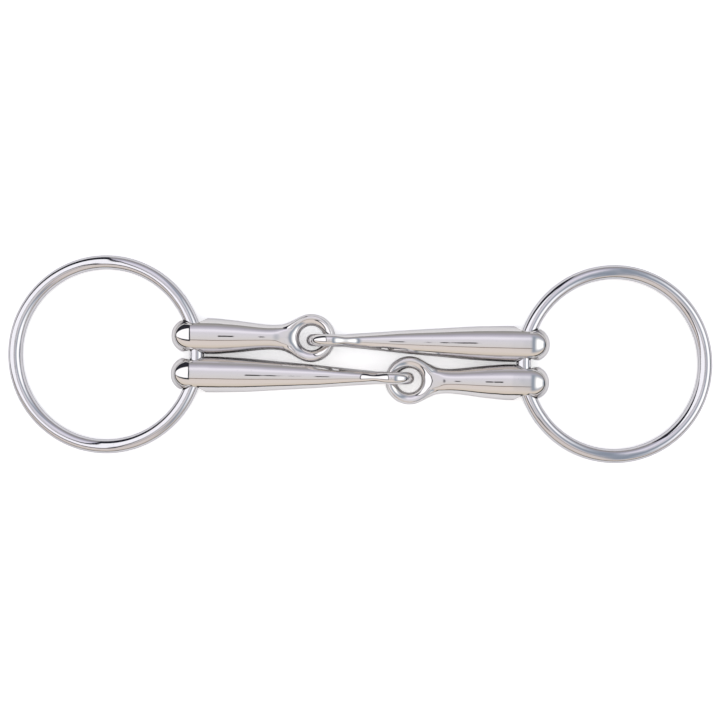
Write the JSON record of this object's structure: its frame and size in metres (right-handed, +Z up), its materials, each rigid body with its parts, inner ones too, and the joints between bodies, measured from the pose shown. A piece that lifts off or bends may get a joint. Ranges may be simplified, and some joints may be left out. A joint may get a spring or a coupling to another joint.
{
  "type": "snaffle bit",
  "caption": "Loose-ring snaffle bit with a twin jointed mouthpiece: each side-by-side bar links a short cannon to a long one off centre, both threaded on wire rings.",
  "frame": {"origin": "midway between the two rings, on the surface that the bit lies on", "axes": "+X across the mouth from the left ring to the right ring, +Y from the lower mouthpiece to the upper one, +Z up"},
  "size_m": [0.2716, 0.0762, 0.0178],
  "materials": {
    "ring_steel": "mirror polished",
    "cannon_steel": "mirror polished"
  },
  "bodies": {
    "lower_long_cannon": {"lower_long_cannon": "cannon_steel"},
    "lower_short_cannon": {"lower_short_cannon": "cannon_steel"},
    "upper_short_cannon": {"upper_short_cannon": "cannon_steel"},
    "upper_long_cannon": {"upper_long_cannon": "cannon_steel"},
    "left_ring": {"left_ring": "ring_steel"},
    "right_ring": {"right_ring": "ring_steel"}
  },
  "joints": [
    {"name": "mouthpiece_fold", "type": "hinge", "parent": "lower_long_cannon", "child": "lower_short_cannon", "pos_m": [0.0119, -0.00732, 0.00885], "axis": [0, 1, 0], "range_deg": [-60, 60]},
    {"name": "upper_short_fold", "type": "hinge", "parent": "lower_long_cannon", "child": "upper_short_cannon", "pos_m": [-0.06365, 0, 0.00685], "axis": [0, 1, 0], "range_deg": [-12, 12]},
    {"name": "upper_long_fold", "type": "hinge", "parent": "lower_short_cannon", "child": "upper_long_cannon", "pos_m": [0.06365, 0, 0.00685], "axis": [0, 1, 0], "range_deg": [-12, 12]},
    {"name": "left_ring_swing", "type": "hinge", "parent": "lower_long_cannon", "child": "left_ring", "pos_m": [-0.06365, 0, 0.00685], "axis": [0, 1, 0], "range_deg": [-110, 110]},
    {"name": "right_ring_swing", "type": "hinge", "parent": "lower_short_cannon", "child": "right_ring", "pos_m": [0.06365, 0, 0.00685], "axis": [0, 1, 0], "range_deg": [-110, 110]}
  ],
  "couplings": [
    {"joint": "upper_short_fold", "follows": "mouthpiece_fold", "ratio": -0.2},
    {"joint": "upper_long_fold", "follows": "mouthpiece_fold", "ratio": -0.2}
  ]
}
